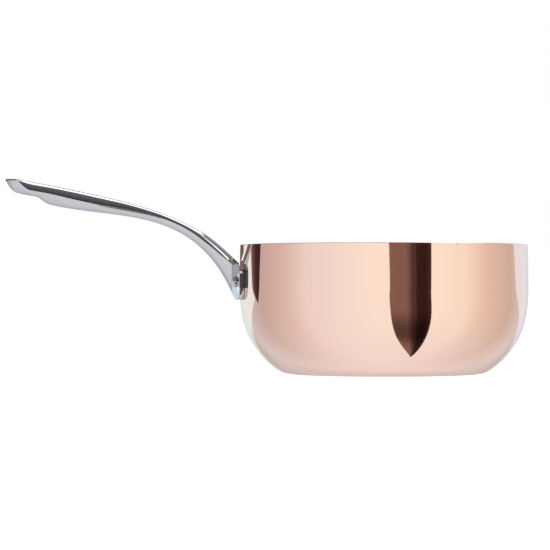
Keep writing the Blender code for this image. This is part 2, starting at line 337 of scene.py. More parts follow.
@dataclass(frozen=True)
class PolishedCopper(Finish):
    """Mirror copper, with faint marks of the polishing wheel, a turned underside, and painted shade in a
    darker ring at the base's corner.
    """

    streak_scale: float = 1.4
    streak_detail: float = 3.0
    streak_gloss: float = 0.03
    streak_depth: float = 0.006
    cloud_scale: float = 26.0
    cloud_gloss: float = 0.02
    cloud_darkening: float = 0.05
    painted_shade_heights: Pair = (0.00208, 0.0052)
    painted_shade_strength: float = 0.18
    under_heights: Pair = (0.0001, 0.0006)
    under_reaches: Pair = (0.0840, 0.0880)
    under_roughness: float = 0.22
    groove_scale: float = 2.38
    groove_detail: float = 4.0
    groove_depth: float = 0.6
    relief: Pair = (0.35, 0.0002)

    def marks(self, shader: Shader) -> dict[str | int, object]:
        """Wheel marks, painted shade in a darker ring at the base's corner, and the turned underside.

        Args:
            shader: The material's builder.

        Returns:
            Links for the metal shader's inputs.
        """
        turned, reach, z = self.turned_place(shader)
        streaks = shader.noise(turned, self.streak_scale, self.streak_detail)
        grooves = shader.noise(turned, self.groove_scale, self.groove_detail)
        clouds = shader.noise(shader.place(), self.cloud_scale)
        under = z.below(*self.under_heights) * reach.below(*self.under_reaches)
        # Painted shade: a darker ring low on the wall stands in for the table's contact shadow mirrored
        # at the base's corner; the clouds add a random darker tone on top.
        painted_shade_and_tone = z.below(*self.painted_shade_heights) * self.painted_shade_strength + clouds * self.cloud_darkening
        darker_copper = tuple(part * part for part in self.colour)
        roughness = varied(self.roughness, (streaks, self.streak_gloss), (clouds, self.cloud_gloss))
        height = streaks * self.streak_depth + grooves * under * self.groove_depth
        return {
            "Base Color": shader.mix(painted_shade_and_tone, self.colour, darker_copper),
            "Roughness": roughness + under * self.under_roughness,
            "Normal": shader.bump(height, *self.relief),
        }


@dataclass(frozen=True)
class CutCore(Finish):
    """Aluminium, seen only as a ring at the rim, with fine cutting marks."""

    line_scale: float = 4.0
    line_detail: float = 3.0
    line_gloss: float = 0.2
    relief: Pair = (0.25, 0.0001)

    def marks(self, shader: Shader) -> dict[str | int, object]:
        """Cutting marks round the rim.

        Args:
            shader: The material's builder.

        Returns:
            Links for the metal shader's inputs.
        """
        lines = shader.noise(self.turned_place(shader)[0], self.line_scale, self.line_detail)
        roughness = varied(self.roughness, (lines, self.line_gloss))
        return {"Roughness": roughness, "Normal": shader.bump(lines, *self.relief)}


@dataclass(frozen=True)
class BrushedLining(Finish):
    """Steel brushed round the bowl, with fine and broad lines."""

    fine_scale: float = 2.2
    fine_detail: float = 4.0
    fine_gloss: float = 0.16
    fine_tone: float = 0.18
    fine_depth: float = 0.8
    broad_scale: float = 2.2 / 9.0
    broad_gloss: float = 0.10
    broad_tone: float = 0.12
    broad_depth: float = 0.4
    cloud_scale: float = 18.0
    cloud_gloss: float = 0.06
    tones: Pair = (0.82, 1.12)
    relief: Pair = (0.30, 0.00012)

    def marks(self, shader: Shader) -> dict[str | int, object]:
        """Brush lines of two sizes, with soft unevenness under them.

        Args:
            shader: The material's builder.

        Returns:
            Links for the metal shader's inputs.
        """
        turned = self.turned_place(shader)[0]
        fine = shader.noise(turned, self.fine_scale, self.fine_detail)
        broad = shader.noise(turned, self.broad_scale)
        clouds = shader.noise(shader.place(), self.cloud_scale)
        glosses = ((fine, self.fine_gloss), (broad, self.broad_gloss), (clouds, self.cloud_gloss))
        tone = varied(0.5, (fine, self.fine_tone), (broad, self.broad_tone))
        return {
            "Base Color": shader.toned(tone, self.colour, self.tones),
            "Roughness": varied(self.roughness, *glosses),
            "Normal": shader.bump(fine * self.fine_depth + broad * self.broad_depth, *self.relief),
        }


@dataclass(frozen=True)
class PolishedCasting(Finish):
    """Cast steel, ground and polished along its length, with the casting's slight waves."""

    line_scale: float = 1820.0
    line_detail: float = 3.0
    line_stretch: Triple = (0.045, 1.0, 1.0)
    line_gloss: float = 0.08
    line_depth: float = 0.10
    cloud_scale: float = 90.0
    cloud_detail: float = 3.0
    cloud_gloss: float = 0.05
    wave_scale: float = 48.0
    wave_detail: float = 1.0
    tone_reach: float = 0.10
    tones: Pair = (0.88, 1.10)
    relief: Pair = (0.22, 0.0006)
    end_across: Pair = (0.0285, 0.0295)
    end_sideways: Pair = (0.75, 0.85)
    end_upward: Pair = (0.02, 0.05)
    painted_dark_tone: float = 0.26
    end_roughness: float = 0.5

    def painted_dark_ends(self, shader: Shader) -> Socket:
        """Where the flange's two straight ends get a painted dark reflection, standing in for what their
        polished flat faces mirror, and a rougher finish.

        Args:
            shader: The material's builder.

        Returns:
            1 on the two ends, 0 elsewhere.
        """
        across = shader.split(shader.place())[1].size()
        _, sideways, upward = shader.split(shader.node("ShaderNodeNewGeometry", None, None, "Normal"))
        flat = sideways.size().above(*self.end_sideways) * upward.size().below(*self.end_upward)
        return flat * across.above(*self.end_across)

    def marks(self, shader: Shader) -> dict[str | int, object]:
        """Fine lines along the handle, faint waves, cloudy sheen, and a painted dark reflection with more
        roughness on the flange's two ends.

        Args:
            shader: The material's builder.

        Returns:
            Links for the metal shader's inputs.
        """
        place = shader.place()
        along = shader.vector("MULTIPLY", place, self.line_stretch)
        lines = shader.noise(along, self.line_scale, self.line_detail)
        waves = shader.noise(place, self.wave_scale, self.wave_detail)
        clouds = shader.noise(place, self.cloud_scale, self.cloud_detail)
        tone = varied(0.5, (lines, self.tone_reach), (clouds, self.tone_reach))
        roughness = varied(self.roughness, (lines, self.line_gloss), (clouds, self.cloud_gloss))
        # Painted reflection: the flange's flat ends are darkened to stand for the dark reflection a
        # polished face shows there; only their roughness is real.
        ends = self.painted_dark_ends(shader)
        painted_dark_colour = tuple(part * self.painted_dark_tone for part in self.colour)
        return {
            "Base Color": shader.mix(ends, shader.toned(tone, self.colour, self.tones), painted_dark_colour),
            "Roughness": roughness * (1.0 - ends) + ends * self.end_roughness,
            "Normal": shader.bump(lines * self.line_depth + waves, *self.relief),
        }


@dataclass(frozen=True)
class RivetSteel(Finish):
    """Polished steel with the faint dents that the setting tool leaves."""

    cloud_scale: float = 240.0
    cloud_detail: float = 3.0
    cloud_gloss: float = 0.08
    dent_scale: float = 520.0
    dent_detail: float = 1.0
    relief: Pair = (0.15, 0.0002)

    def marks(self, shader: Shader) -> dict[str | int, object]:
        """Soft unevenness and small dents of setting.

        Args:
            shader: The material's builder.

        Returns:
            Links for the metal shader's inputs.
        """
        place = shader.place()
        clouds = shader.noise(place, self.cloud_scale, self.cloud_detail)
        dents = shader.noise(place, self.dent_scale, self.dent_detail)
        roughness = varied(self.roughness, (clouds, self.cloud_gloss))
        return {"Roughness": roughness, "Normal": shader.bump(dents, *self.relief)}


# Modelling


def spread(start: float, end: float, steps: int) -> list[float]:
    """Evenly spaced values from start to end, with both."""
    return [start + (end - start) * i / steps for i in range(steps + 1)]


def arc(centre: Pair, radius: float, start: float, end: float, steps: int) -> list[Pair]:
    """Points on an arc, with angles from the first axis towards the second."""
    return [
        (centre[0] + radius * math.cos(angle), centre[1] + radius * math.sin(angle))
        for angle in spread(start, end, steps)
    ]


def eased(stations: Sequence[Pair], reach: float) -> float:
    """A value that eases between stations.

    Args:
        stations: (reach, value) pairs in order.
        reach: Where the value is wanted.

    Returns:
        The value there, which holds beyond the ends.
    """
    if reach <= stations[0][0]:
        return stations[0][1]
    for (start, first), (end, last) in zip(stations, stations[1:]):
        if reach <= end:
            share = (reach - start) / (end - start)
            return first + (last - first) * share * share * (3 - 2 * share)
    return stations[-1][1]


class Piece:
    """A mesh modelled one operator at a time, as by hand."""

    def __init__(self, name: str) -> None:
        """Take over the primitive that was just added.

        Args:
            name: The piece's name.
        """
        self.body = bpy.context.active_object
        self.body.name = name
        self.body.data.name = name

    @staticmethod
    def clear_selection() -> None:
        """Deselect every object, CAD nodes included."""
        for other in bpy.context.selected_objects:
            other.select_set(False)

    def pick(self) -> None:
        """Select this piece alone and make it the active one."""
        self.clear_selection()
        self.body.select_set(True)
        bpy.context.view_layer.objects.active = self.body

    @contextmanager
    def editing(self) -> Iterator[None]:
        """Edit mode on this piece alone, with every vertex in it selected."""
        self.pick()
        bpy.ops.object.mode_set(mode="EDIT")
        bpy.ops.mesh.select_mode(type="VERT")
        bpy.ops.mesh.select_all(action="SELECT")
        yield
        bpy.ops.object.mode_set(mode="OBJECT")

    def select(self, mode: str, test: Callable[[object], bool]) -> None:
        """Select what passes a test, in edit mode.

        Args:
            mode: VERT or EDGE.
            test: Says of a vertex or an edge whether it is selected.
        """
        bpy.ops.mesh.select_mode(type=mode)
        bpy.ops.mesh.select_all(action="DESELECT")
        shape = bmesh.from_edit_mesh(self.body.data)
        elements = {"VERT": shape.verts, "EDGE": shape.edges}[mode]
        found = [element for element in elements if test(element)]
        for element in found:
            element.select_set(True)
        bmesh.update_edit_mesh(self.body.data)

    def move(self, rule: Callable[[Vector], Vector]) -> None:
        """Move every vertex, in edit mode.

        Args:
            rule: Says of a vertex's place where it goes.
        """
        shape = bmesh.from_edit_mesh(self.body.data)
        for vertex in shape.verts:
            vertex.co = rule(vertex.co)
        bmesh.update_edit_mesh(self.body.data)

    def close_up(self) -> None:
        """Merge doubles and face everything outwards, in edit mode."""
        bpy.ops.mesh.select_mode(type="VERT")
        bpy.ops.mesh.select_all(action="SELECT")
        bpy.ops.mesh.remove_doubles(threshold=MERGE)
        bpy.ops.mesh.normals_make_consistent(inside=False)

    def apply(self, kind: str, **settings: object) -> None:
        """Add one modifier and apply it.

        Args:
            kind: The modifier's type.
            settings: Its settings.
        """
        self.pick()
        change = self.body.modifiers.new(kind.lower(), kind)
        for name, value in settings.items():
            setattr(change, name, value)
        bpy.ops.object.modifier_apply(modifier=change.name)

    def boolean(self, operation: str, other: Piece) -> None:
        """Join another piece to this one, or cut it away, and remove the other.

        Args:
            operation: UNION or DIFFERENCE.
            other: The other piece.
        """
        self.apply("BOOLEAN", operation=operation, solver="EXACT", object=other.body)
        mesh = other.body.data
        bpy.data.objects.remove(other.body)
        bpy.data.meshes.remove(mesh)

    def turn(self, rotation: Triple, place: Triple) -> None:
        """Turn and place the piece, with both put into its mesh.

        Args:
            rotation: Angles about X, Y and Z.
            place: Where its origin goes.
        """
        self.pick()
        self.body.rotation_euler = rotation
        self.body.location = place
        bpy.ops.object.transform_apply(location=True, rotation=True, scale=True)

    def hand_over(self, node: str, slot: Slot, finish: Finish, sharp: float = SHARP_EDGE) -> None:
        """Finish the piece and let it stand for its CAD node.

        Args:
            node: The CAD node.
            slot: The record's material slot; not used.
            finish: The piece's finish.
            sharp: Angle in degrees above which an edge shows as sharp.
        """
        self.pick()
        bpy.ops.object.shade_smooth_by_angle(angle=math.radians(sharp))
        self.apply("WEIGHTED_NORMAL", keep_sharp=True)
        self.body.data.materials.clear()
        self.body.data.materials.append(finish.made())
        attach(self.body, "root")
        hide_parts(node)
        faces = len(self.body.data.polygons)
        log.info("%s stands for %s, with %d faces", self.body.name, node, faces)


def turned(name: str, outline: Sequence[Pair], steps: int) -> Piece:
    """Turn a solid about Z, from one vertex extruded along an outline and spun.

    Args:
        name: The piece's name.
        outline: (radius, height) points that start and end on the axis or close on themselves.
        steps: Steps of the full turn.

    Returns:
        The piece.
    """
    Piece.clear_selection()
    bpy.ops.mesh.primitive_plane_add(size=SEED)
    piece = Piece(name)
    with piece.editing():
        bpy.ops.mesh.merge(type="CENTER")
        start = outline[0]
        bpy.ops.transform.translate(value=(start[0], 0.0, start[1]))
        for near, far in zip(outline, outline[1:]):
            step = (far[0] - near[0], 0.0, far[1] - near[1])
            bpy.ops.mesh.extrude_region_move(TRANSFORM_OT_translate={"value": step})
        bpy.ops.mesh.select_all(action="SELECT")
        bpy.ops.mesh.spin(steps=steps, angle=math.tau, center=ORIGIN, axis=UP)
        piece.close_up()
    return piece


def lofted(name: str, rings: Sequence[Sequence[Triple]]) -> Piece:
    """A solid through closed rings, from a circle that is extruded and fitted to each.

    Args:
        name: The piece's name.
        rings: Closed rings of as many points each.

    Returns:
        The piece, with both ends closed.
    """
    Piece.clear_selection()
    bpy.ops.mesh.primitive_circle_add(vertices=len(rings[0]), radius=SEED)
    piece = Piece(name)
    with piece.editing():
        shape = bmesh.from_edit_mesh(piece.body.data)
        front = list(shape.verts)
        for vertex, point in zip(front, rings[0]):
            vertex.co = point
        bpy.ops.mesh.edge_face_add()
        bpy.ops.mesh.select_mode(type="EDGE")
        bpy.ops.mesh.region_to_loop()
        order = {vertex.index: slot for slot, vertex in enumerate(front)}
        for ring in rings[1:]:
            bpy.ops.mesh.extrude_region_move()
            shape = bmesh.from_edit_mesh(piece.body.data)
            shape.verts.ensure_lookup_table()
            shape.verts.index_update()
            added = [vertex for vertex in shape.verts if vertex.select]
            fresh = {vertex.index for vertex in added}
            slots = {}
            for vertex in added:
                ends = (edge.other_vert(vertex).index for edge in vertex.link_edges)
                slots[vertex.index] = order[next(end for end in ends if end not in fresh)]
            for vertex in added:
                vertex.co = ring[slots[vertex.index]]
            order = slots
        bpy.ops.mesh.edge_face_add()
        piece.close_up()
    return piece


# Bowl


@dataclass
class Bowl:
    """The three bonded layers of the bowl, each turned from one outline."""

    rim_drop: float = 0.0003
    height: float = field(default_factory=lambda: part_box("copper_body")[1].z - Bowl.rim_drop)
    belly_radius: float = field(default_factory=lambda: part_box("copper_body")[1].x)
    rim_inset: float = 0.0006
    rim_round: float = 0.0004
    inner_rim_round: float = 0.0003
    rim_support: float = 0.0001
    knuckle_radius: float = 0.07206
    knuckle_sweep: float = math.radians(56.34)
    corner_radius: float = 0.01826
    bend: float = 0.0140
    copper_thickness: float = 0.00105
    core_thickness: float = 0.0013
    wall_thickness: float = 0.0030
    base_support: float = 0.0006
    turn_steps: int = 288
    corner_steps: int = 16
    knuckle_steps: int = 48
    wall_steps: int = 30
    rim_steps: int = 6
    copper: Finish = PolishedCopper("polished_copper", (0.94, 0.685, 0.57), 0.035)
    core: Finish = CutCore("cut_aluminium", (0.82, 0.83, 0.84), 0.38)
    lining: Finish = BrushedLining("brushed_steel", (0.66, 0.65, 0.64), 0.26)

    @property
    def inner_knuckle(self) -> float:
        """Distance from the knuckle's centre to the base corner's."""
        return self.knuckle_radius - self.corner_radius

    @property
    def belly_height(self) -> float:
        """Height at which the wall is widest."""
        return self.inner_knuckle * math.sin(self.knuckle_sweep) + self.corner_radius

    @property
    def knuckle_centre(self) -> float:
        """Distance of the knuckle's centre from the axis."""
        return self.belly_radius - self.knuckle_radius

    @property
    def wall_curve(self) -> float:
        """Radius of the wall's slight inward curve above the belly."""
        rise = self.height - self.belly_height
        return (rise**2 + self.rim_inset**2) / (2 * self.rim_inset)

    def wall(self, height: float, depth: float = 0.0) -> float:
        """Radius of the wall.

        Args:
            height: Height above the base.
            depth: Depth of the wanted surface inside the copper's face.

        Returns:
            The radius there.
        """
        drop = self.belly_height - height
        if drop < 0:
            centre = self.belly_radius - self.wall_curve
            radius = centre + math.sqrt((self.wall_curve - depth) ** 2 - drop**2)
        else:
            radius = self.knuckle_centre + math.sqrt((self.knuckle_radius - depth) ** 2 - drop**2)
        return radius + self.bend_shift(height)

    def bend_shift(self, height: float) -> float:
        """How far out a point lies because the wall bends into the knuckle gradually.

        Args:
            height: Height above the base.

        Returns:
            The shift, negative towards the axis.
        """
        jump = 1 / self.knuckle_radius - 1 / self.wall_curve
        drop = self.belly_height - height
        if drop > self.bend:
            return -jump * self.bend**2 / 6
        sudden = jump * max(drop, 0.0) ** 2 / 2
        gradual = jump * max(self.bend + drop, 0.0) ** 3 / (12 * self.bend)
        return sudden - gradual

    def outline(self, depth: float) -> list[Pair]:
        """(radius, height) points of one surface.

        Args:
            depth: Depth of the surface inside the copper's face.

        Returns:
            Points from the middle of the base out and up to the rim.
        """
        corner_centre = (
            self.knuckle_centre + self.inner_knuckle * math.cos(self.knuckle_sweep),
            self.corner_radius,
        )
        corner_radius = self.corner_radius - depth
        corner = arc(corner_centre, corner_radius, -math.pi / 2, -self.knuckle_sweep, self.corner_steps)
        knuckle_centre = (self.knuckle_centre, self.belly_height)
        knuckle_radius = self.knuckle_radius - depth
        knuckle = arc(knuckle_centre, knuckle_radius, -self.knuckle_sweep, 0.0, self.knuckle_steps)
        curved = [(radius + self.bend_shift(height), height) for radius, height in corner + knuckle[1:]]
        heights = spread(self.belly_height, self.height, self.wall_steps)
        wall = [(self.wall(height, depth), height) for height in heights]
        return [(0.0, depth), (curved[0][0] - self.base_support, depth)] + curved + wall[1:]

    def rounded(self, outline: list[Pair], radius: float, side: int) -> list[Pair]:
        """The outline with its corner at the rim rounded.

        Args:
            outline: Points that end at the rim.
            radius: Radius of the rounding.
            side: 1 to round towards the axis, -1 away from it.

        Returns:
            The changed outline.
        """
        rim_radius, rim_height = outline[-1]
        centre = (rim_radius - side * radius, rim_height - radius)
        support = (rim_radius, centre[1] - self.rim_support)
        kept = [point for point in outline if point[1] < support[1] - self.rim_support]
        edge = arc(centre, radius, 0.0, math.pi / 2, self.rim_steps)
        return kept + [support] + [(centre[0] + side * (x - centre[0]), z) for x, z in edge]

    def layer(
        self, name: str, depth: float, thickness: float, outer: float = 0.0, inner: float = 0.0
    ) -> Piece:
        """One layer between two surfaces parallel to the copper's face.

        Args:
            name: The piece's name.
            depth: Depth of its outer surface.
            thickness: Its thickness.
            outer: Rounding of its outer edge at the rim.
            inner: Rounding of its inner edge at the rim.

        Returns:
            The piece.
        """
        outside = self.outline(depth)
        inside = self.outline(depth + thickness)
        if outer:
            outside = self.rounded(outside, outer, 1)
        if inner:
            inside = self.rounded(inside, inner, -1)
        return turned(name, inside + outside[::-1], self.turn_steps)

    def build(self, rivets: Rivets) -> None:
        """Model the layers, drill them for the rivets and dress them.

        Args:
            rivets: The rivets that pass through the wall.
        """
        core_depth = self.copper_thickness + SEAM
        lining_depth = core_depth + self.core_thickness + SEAM
        lining_thickness = self.wall_thickness - lining_depth
        copper = self.layer("copper_shell", 0.0, self.copper_thickness, outer=self.rim_round)
        core = self.layer("core_shell", core_depth, self.core_thickness)
        lining = self.layer("lining_shell", lining_depth, lining_thickness, inner=self.inner_rim_round)
        for layer in (copper, core, lining):
            rivets.drill(layer)
        copper.hand_over("copper_body", Slot.COPPER, self.copper)
        core.hand_over("aluminium_core", Slot.CORE, self.core)
        lining.hand_over("steel_lining", Slot.LINING, self.lining)


# Rivets


@dataclass
class Rivets:
    """Two rivets, one each side of the handle, through the flange and the wall."""

    bowl: Bowl
    height: float
    spread: float
    seat_reach: float
    shank_radius: float = 0.00275
    hole_gap: float = 0.0001
    head_radius: float = 0.0046
    head_rim: float = 0.0015
    head_dome: float = 0.0018
    head_edge: float = 0.0003
    foot_radius: float = 0.0050
    foot_thickness: float = 0.0013
    foot_round: float = 0.0005
    lift: float = 0.0003
    cutter_length: float = 0.0184
    drill_depth: float = 0.0090
    turn_steps: int = 64
    dome_steps: int = 16
    edge_steps: int = 4
    steel: Finish = RivetSteel("rivet_steel", (0.58, 0.565, 0.59), 0.07)

    @property
    def angle(self) -> float:
        """Angle of each rivet round the bowl from the handle's middle."""
        return math.asin(self.spread / 2 / self.bowl.wall(self.height))

    def placed(self, piece: Piece, side: int) -> Piece:
        """Turn a piece that was made along Z so that it points out of the pan at one rivet."""
        piece.turn((0.0, -math.pi / 2, side * self.angle), (0.0, 0.0, self.height))
        return piece

    def cut(self, piece: Piece, radius: float, depth: float) -> None:
        """Cut a round recess into a piece at both rivets.

        Args:
            piece: The piece.
            radius: The cutter's radius.
            depth: Distance of the recess's floor from the bowl's axis.
        """
        top = self.seat_reach + self.cutter_length
        outline = [(0.0, top), (radius, top), (radius, depth), (0.0, depth)]
        for side in (1, -1):
            piece.boolean("DIFFERENCE", self.placed(turned("cutter", outline, self.turn_steps), side))

    def seat(self, piece: Piece) -> None:
        """Cut the flat seats of both heads."""
        self.cut(piece, self.head_radius + self.lift, self.seat_reach)

    def drill(self, piece: Piece) -> None:
        """Drill a piece for both rivets."""
        self.cut(piece, self.shank_radius + self.hole_gap, self.bowl.wall(self.height) - self.drill_depth)

    def head_outline(self) -> list[Pair]:
        """The outer head, from its top to the shank.

        Returns:
            (radius, reach) points.
        """
        seat = self.seat_reach + self.lift
        rim = seat + self.head_rim
        dome = [
            (self.head_radius * math.sin(a), rim + self.head_dome * math.cos(a))
            for a in spread(0.0, math.pi / 2, self.dome_steps)
        ]
        edge_centre = (self.head_radius - self.head_edge, seat + self.head_edge)
        edge = arc(edge_centre, self.head_edge, 0.0, -math.pi / 2, self.edge_steps)
        return dome + edge + [(self.shank_radius, seat)]

    def foot_outline(self) -> list[Pair]:
        """The inner head, from the shank to its middle.

        Returns:
            (radius, reach) points.
        """
        inner = self.bowl.wall(self.height, self.bowl.wall_thickness)
        top = math.sqrt(inner**2 - self.foot_radius**2) - self.lift
        low = top - self.foot_thickness
        centre = (self.foot_radius - self.foot_round, low + self.foot_round)
        edge = arc(centre, self.foot_round, 0.0, -math.pi / 2, self.edge_steps)
        return [(self.shank_radius, top), (self.foot_radius, top)] + edge + [(0.0, low)]

    def build(self) -> None:
        """Model both rivets and dress them."""
        for name, side in (("front", 1), ("back", -1)):
            outline = self.head_outline() + self.foot_outline()
            rivet = self.placed(turned(f"{name}_rivet_steel", outline, self.turn_steps), side)
            rivet.hand_over(f"{name}_rivet", Slot.RIVET, self.steel)


# Handle


@dataclass
class Handle:
    """The cast handle: an arm that grows out of a plate, curved to the wall and thicker at the arm."""

    bowl: Bowl
    flange_drop: float = 0.0164
    flange_height: float = 0.0308
    flange_width: float = 0.0700
    flange_thickness: float = 0.0042
    flange_lean: float = math.tan(math.radians(15.1))
    flange_lean_rise: float = 0.0100
    flange_top_round: float = 0.0080
    flange_bottom_round: float = 0.0100
    flange_edge: float = 0.0008
    clearance: float = 0.0003
    rivet_spread: float = 0.0432
    spot_depth: float = 0.0006

    reach: float = 0.2013
    rise: float = 0.0728
    root_slope: float = math.radians(43.9)
    root_pull: float = 0.0548
    tip_slope: float = math.radians(10.6)
    tip_pull: float = 0.1305
    under_root_slope: float = math.radians(68.2)
    under_root_pull: float = 0.0903
    under_tip_slope: float = math.radians(13.9)
    under_tip_pull: float = 0.0611
    grip_depth: float = 0.0166
    nose_depth: float = 0.0122
    nose_end_depth: float = 0.0014
    stop_setback: float = 0.0378
    stop_length: float = 0.0122
    web_sink: float = 0.0006

    root_width: float = 0.0180
    neck_width: float = 0.0156
    neck_setback: float = 0.0520
    grip_width: float = 0.0236
    grip_setback: float = 0.0600
    nose_width: float = 0.0214
    nose_length: float = 0.0110
    nose_tip_width: float = 0.0043
    root_fillet: float = 0.0012

    lift_stations: tuple[Pair, ...] = (
        (0.0050, 0.0003),
        (0.0275, 0.0008),
        (0.0400, 0.0),
        (0.1870, 0.0),
        (0.1930, 0.0004),
    )
    crown_stations: tuple[Pair, ...] = (
        (0.0045, 0.0057),
        (0.0440, 0.0021),
        (0.0690, 0.0015),
        (0.0945, 0.0016),
        (0.1203, 0.0021),
        (0.1550, 0.0020),
        (0.1780, 0.0023),
        (0.1930, 0.0009),
    )
    crown_share: float = 0.6
    band_stations: tuple[Pair, ...] = (
        (0.0036, 0.0005),
        (0.0214, 0.0024),
        (0.0300, 0.0030),
        (0.0515, 0.0022),
        (0.1375, 0.0061),
        (0.1700, 0.0052),
    )
    band_nose_length: float = 0.0110
    band_least: float = 0.0003
    band_top_lean: float = math.tan(math.radians(22.0))
    band_low_lean: float = math.tan(math.radians(10.0))
    crown_sweep: float = math.radians(65.0)
    flank_power: float = 3.0

    hole_width: float = 0.0070
    hole_length: float = 0.0130
    hole_setback: float = 0.0140
    hole_round: float = 0.0004
    lip_search: float = 0.6
    lip_angle: float = math.radians(50.0)

    crown_steps: int = 14
    band_steps: int = 8
    flank_steps: int = 20
    web_steps: int = 6
    arm_steps: int = 96
    fillet_steps: int = 6
    stop_steps: int = 14
    nose_steps: int = 18
    corner_steps: int = 8
    edge_steps: int = 4
    column_pitch: float = 0.0018
    row_pitch: float = 0.0020
    rim_facing: float = 0.5
    sharp_edge: float = 32.0
    steel: Finish = PolishedCasting("polished_casting", (0.56, 0.545, 0.575), 0.10)

    @property
    def flange_top(self) -> float:
        """Height of the flange's top edge."""
        return self.bowl.height - self.flange_drop

    @property
    def flange_bottom(self) -> float:
        """Height of the flange's bottom edge."""
        return self.flange_top - self.flange_height

    @property
    def root_reach(self) -> float:
        """Distance of the handle's root from the bowl's axis."""
        return self.bowl.wall(self.flange_top) + self.clearance

    @property
    def tip_reach(self) -> float:
        """Distance of the handle's tip from the axis."""
        return self.root_reach + self.reach

    @property
    def brow_reach(self) -> float:
        """Where the rounded nose starts."""
        return self.tip_reach - self.nose_length

    @property
    def stop_reach(self) -> float:
        """Where the grip's deep belly ends."""
        return self.tip_reach - self.stop_setback

    @property
    def face_reach(self) -> float:
        """Distance of the flange's low edge from the axis."""
        return self.root_reach + self.flange_thickness

    @property
    def corner_reach(self) -> float:
        """Where the arm's sides meet the flange's face."""
        return self.flange_reach(self.root_width / 2 + self.root_fillet, self.flange_top)

    @property
    def fillet_reach(self) -> float:
        """Where the fillets to the flange start."""
        return self.corner_reach + self.root_fillet

    @property
    def rivet_height(self) -> float:
        """Height of the rivets' centres."""
        return self.flange_bottom + self.flange_height / 2

    @property
    def seat_reach(self) -> float:
        """Distance of the rivets' flat seats from the axis."""
        across = self.rivet_spread / 2
        return math.hypot(across, self.flange_reach(across, self.rivet_height)) - self.spot_depth

    def flange_reach(self, across: float, height: float) -> float:
        """How far out the flange's outer face lies.

        Args:
            across: Distance from the handle's middle.
            height: Height above the base.

        Returns:
            The reach, even along the low edge and leaning out to the arm above it.
        """
        outer = self.bowl.wall(height) + self.clearance + self.flange_thickness
        even = math.sqrt(outer**2 - across**2)
        side = self.flange_width / 2
        beside = max(abs(across), self.root_width / 2)
        leaning = math.sqrt(outer**2 - side**2) + self.flange_lean * (side - beside)
        return even + (leaning - even) * min(1.0, (height - self.flange_bottom) / self.flange_lean_rise)

    @staticmethod
    def bezier(points: Sequence[Pair], t: float) -> Pair:
        """A point on a cubic curve through the first and last of four points."""
        weights = ((1 - t) ** 3, 3 * t * (1 - t) ** 2, 3 * t**2 * (1 - t), t**3)
        return tuple(sum(w * point[i] for w, point in zip(weights, points)) for i in range(2))

    def curve_height(self, points: Sequence[Pair], reach: float) -> float:
        """Height of a curve whose reach only grows, found by halving.

        Args:
            points: The curve's four points.
            reach: Where the height is wanted.

        Returns:
            The height there.
        """
        low, high = 0.0, 1.0
        for _ in range(HALVINGS):
            middle = (low + high) / 2
            if self.bezier(points, middle)[0] < reach:
                low = middle
            else:
                high = middle
        return self.bezier(points, low)[1]

    @staticmethod
    def leaving(start: Pair, slope: float, pull: float, way: int) -> Pair:
        """The handle of a curve's end, uphill outwards (1) or downhill inwards (-1)."""
        return start[0] + way * pull * math.cos(slope), start[1] + way * pull * math.sin(slope)

    def top_line(self) -> tuple[Pair, ...]:
        """The curve along the top, from the flange to the brow.

        Returns:
            Its four points.
        """
        root = (self.root_reach, self.flange_top)
        brow = (self.brow_reach, self.flange_top + self.rise)
        after = self.leaving(root, self.root_slope, self.root_pull, 1)
        before = self.leaving(brow, self.tip_slope, self.tip_pull, -1)
        return root, after, before, brow

    def under_line(self) -> tuple[Pair, ...]:
        """The curve along the underside, from the flange to the stop.

        Returns:
            Its four points.
        """
        root = (self.face_reach, self.flange_bottom)
        stop = (self.stop_reach, self.curve_height(self.top_line(), self.stop_reach) - self.grip_depth)
        after = self.leaving(root, self.under_root_slope, self.under_root_pull, 1)
        before = self.leaving(stop, self.under_tip_slope, self.under_tip_pull, -1)
        return root, after, before, stop

    def nose_share(self, reach: float) -> float:
        """How far into the rounded nose a reach lies, from 0 to 1 at the tip."""
        return max(0.0, (reach - self.brow_reach) / self.nose_length)

    def top_height(self, reach: float) -> float:
        """Height of the handle's top."""
        return self.curve_height(self.top_line(), min(reach, self.brow_reach)) + self.lift(reach)

    def lift(self, reach: float) -> float:
        """How far the ridge near the root and the nose stand above the top curve."""
        return eased(self.lift_stations, reach - self.root_reach)

    def bottom_height(self, reach: float) -> float:
        """Height of the handle's underside.

        Args:
            reach: Distance of the section from the bowl's axis.

        Returns:
            The height.
        """
        if reach < self.stop_reach:
            return max(self.curve_height(self.under_line(), reach), self.flange_bottom + self.web_sink)
        stop_end = self.stop_reach + self.stop_length
        depth = eased(((self.stop_reach, self.grip_depth), (stop_end, self.nose_depth)), reach)
        depth -= (self.nose_depth - self.nose_end_depth) * self.nose_share(reach) ** 2
        return self.top_height(reach) - depth

    def half_width(self, reach: float) -> float:
        """Half the width at the waist, with the nose's round end and the fillets to the flange.

        Args:
            reach: Distance of the section from the bowl's axis.

        Returns:
            Half the width.
        """
        stations = (
            (self.fillet_reach, self.root_width),
            (self.root_reach + self.neck_setback, self.neck_width),
            (self.tip_reach - self.grip_setback, self.grip_width),
            (self.brow_reach, self.nose_width),
        )
        rounding = 1 - (self.nose_tip_width / self.nose_width) ** 2
        width = eased(stations, reach) / 2 * math.sqrt(1 - rounding * self.nose_share(reach) ** 2)
        into_fillet = min(max(0.0, self.fillet_reach - reach), self.root_fillet)
        return width + self.root_fillet - math.sqrt(self.root_fillet**2 - into_fillet**2)

    def crown_height(self, reach: float) -> float:
        """Rise of the rounded top above the shoulders.

        Args:
            reach: Distance of the section from the bowl's axis.

        Returns:
            The rise.
        """
        rise = eased(self.crown_stations, reach - self.root_reach) + self.lift(reach)
        most = (self.top_height(reach) - self.bottom_height(reach)) * self.crown_share
        return min(rise, most)

